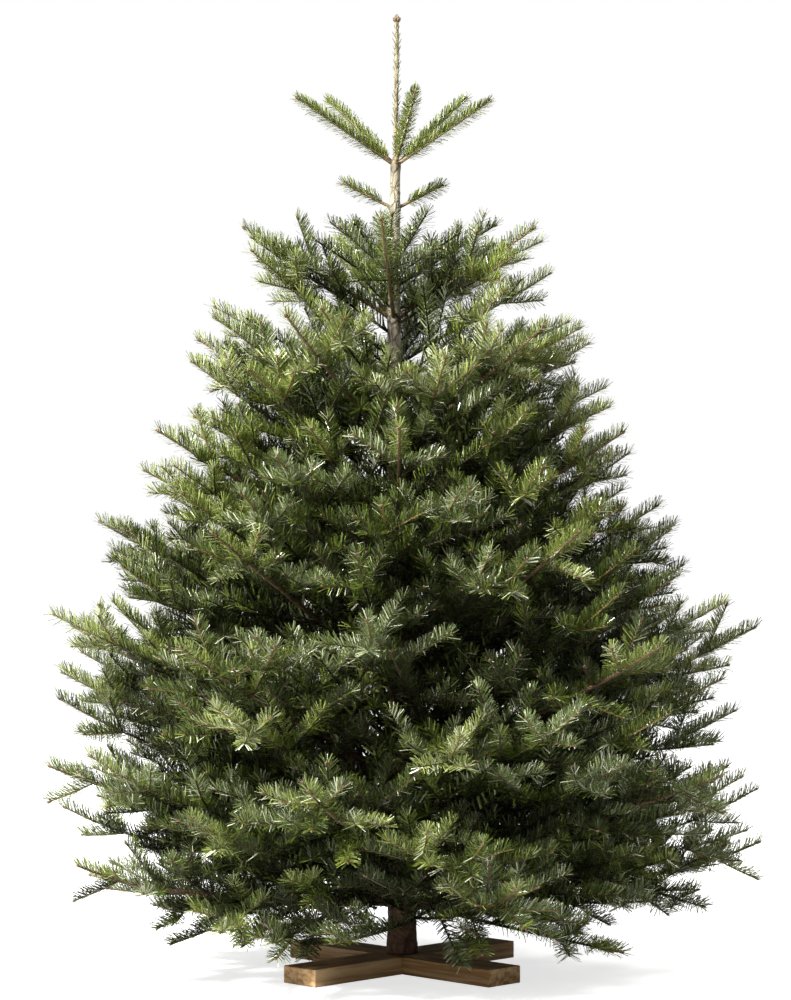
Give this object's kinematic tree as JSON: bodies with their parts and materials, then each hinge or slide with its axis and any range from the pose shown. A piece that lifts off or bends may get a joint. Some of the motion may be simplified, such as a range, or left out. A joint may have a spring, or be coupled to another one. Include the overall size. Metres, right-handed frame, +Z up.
{
  "type": "cut christmas tree on a wooden stand",
  "caption": "Undecorated cut fir christmas tree with tiers of soft needled boughs, a pale upper stem with a long leader, and a plain half-lapped wooden cross stand.",
  "frame": {"origin": "middle of the stand's flat underside, below the centre of the trunk's cut", "axes": "+Z up the trunk, +X to the right and -Y towards the viewer when the tree is seen from its front"},
  "size_m": [1.5589, 1.6101, 2.0363],
  "materials": {
    "stand_wood": "planed softwood, unvarnished",
    "pin_steel": "plain steel rod",
    "trunk_bark": "rough brown bark, paler and smoother towards the top",
    "bough_bark": "thin brown bark",
    "needles": "waxy dark green fir needles with paler undersides"
  },
  "bodies": {
    "root": {"stand_lower_plank": "stand_wood", "stand_upper_plank": "stand_wood", "stand_pin": "pin_steel", "trunk": "trunk_bark", "bough_6_1": "bough_bark", "bough_6_2": "bough_bark", "bough_6_3": "bough_bark", "bough_6_4": "bough_bark", "bough_6_5": "bough_bark", "bough_7_1": "bough_bark", "bough_7_2": "bough_bark", "bough_7_3": "bough_bark", "bough_7_4": "bough_bark", "bough_7_5": "bough_bark", "bough_8_1": "bough_bark", "bough_8_2": "bough_bark", "bough_8_3": "bough_bark", "bough_8_4": "bough_bark", "bough_8_5": "bough_bark", "foliage_1_1": "needles", "foliage_1_2": "needles", "foliage_1_3": "needles", "foliage_1_4": "needles", "foliage_1_5": "needles", "foliage_2_1": "needles", "foliage_2_2": "needles", "foliage_3_1": "needles", "foliage_3_2": "needles", "foliage_3_3": "needles", "foliage_3_4": "needles", "foliage_3_5": "needles", "foliage_4_1": "needles", "foliage_4_2": "needles", "foliage_4_3": "needles", "foliage_4_4": "needles", "foliage_4_5": "needles", "foliage_5_1": "needles", "foliage_5_2": "needles", "foliage_5_3": "needles", "foliage_5_4": "needles", "foliage_5_5": "needles", "foliage_6_1": "needles", "foliage_6_2": "needles", "foliage_6_3": "needles", "foliage_6_4": "needles", "foliage_6_5": "needles", "foliage_7_1": "needles", "foliage_7_2": "needles", "foliage_7_3": "needles", "foliage_7_4": "needles", "foliage_7_5": "needles", "foliage_8_1": "needles", "foliage_8_2": "needles", "foliage_8_3": "needles", "foliage_8_4": "needles", "foliage_8_5": "needles", "foliage_9_1": "needles", "foliage_9_2": "needles", "foliage_9_3": "needles", "foliage_9_4": "needles"}
  },
  "joints": []
}
